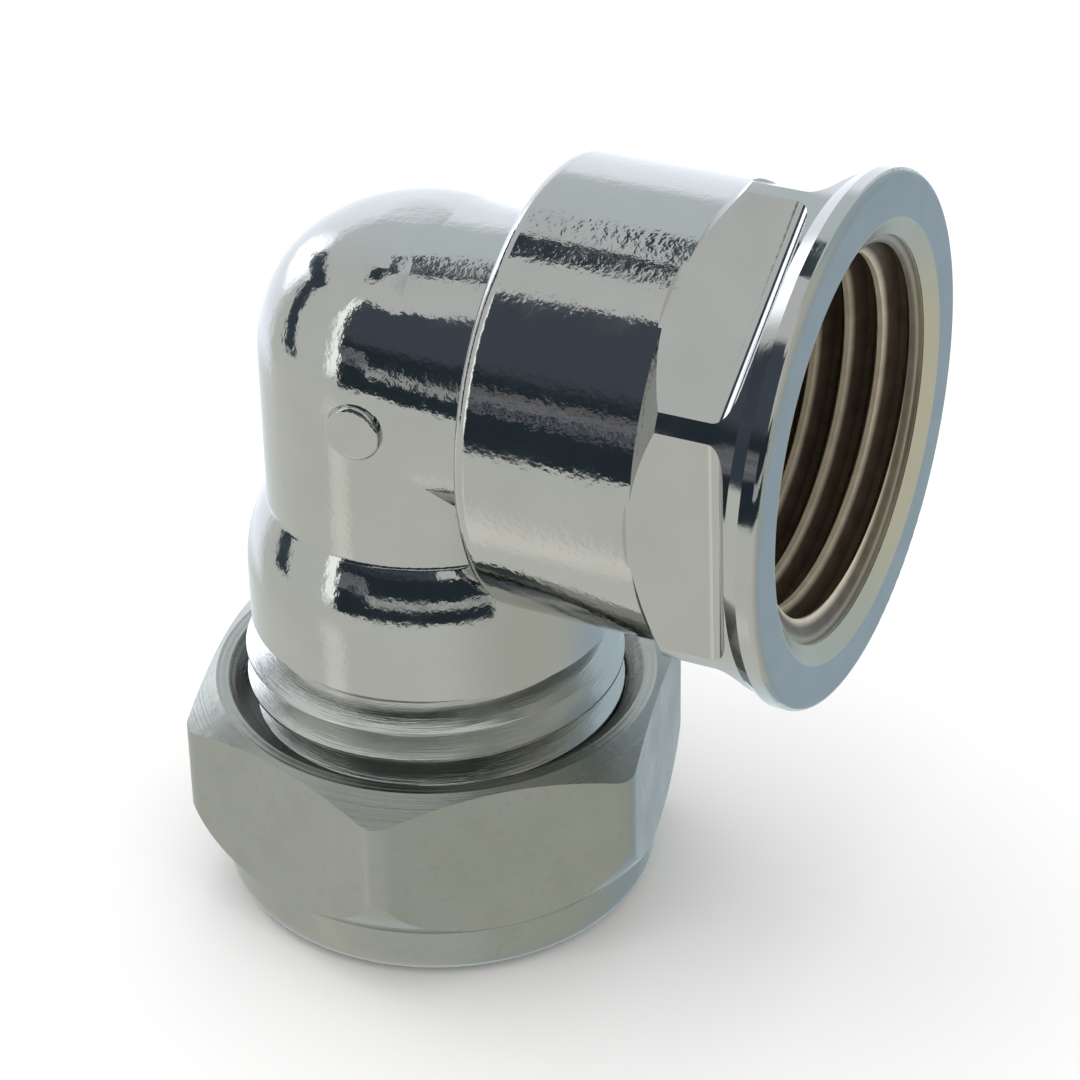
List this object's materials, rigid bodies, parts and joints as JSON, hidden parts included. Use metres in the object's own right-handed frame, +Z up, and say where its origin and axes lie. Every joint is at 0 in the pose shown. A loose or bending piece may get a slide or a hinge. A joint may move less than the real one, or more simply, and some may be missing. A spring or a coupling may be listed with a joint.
{
  "type": "compression elbow fitting",
  "caption": "Chrome elbow fitting: a compression nut and olive grip a 15 mm tube on the leg, and the hexagonal socket at right angles has a female pipe thread.",
  "frame": {"origin": "centre of the ledge inside the leg that the tube's end stops against", "axes": "+Z up the leg's axis, away from the tube; +X along the threaded socket's axis, out of its mouth"},
  "size_m": [0.038, 0.0278, 0.0461],
  "materials": {
    "chrome_body": "bright chrome over a cast and tumbled skin, turned at the ends",
    "satin_nut": "satin chrome with a faint turned grain",
    "olive_brass": "turned brass"
  },
  "bodies": {
    "elbow": {"elbow_body": "chrome_body"},
    "olive_ring": {"olive": "olive_brass"},
    "nut": {"compression_nut": "satin_nut"}
  },
  "joints": [
    {"name": "olive_travel", "type": "slide", "parent": "elbow", "child": "olive_ring", "axis": [0, 0, 1], "range_m": [-0.0055, 0.0005]},
    {"name": "nut_turn", "type": "hinge", "parent": "olive_ring", "child": "nut", "pos_m": [0, 0, 0], "axis": [0, 0, 1], "range_deg": [-1080, 90]}
  ],
  "couplings": [
    {"joint": "olive_travel", "follows": "nut_turn", "m_per_rad": 0.00028875}
  ]
}
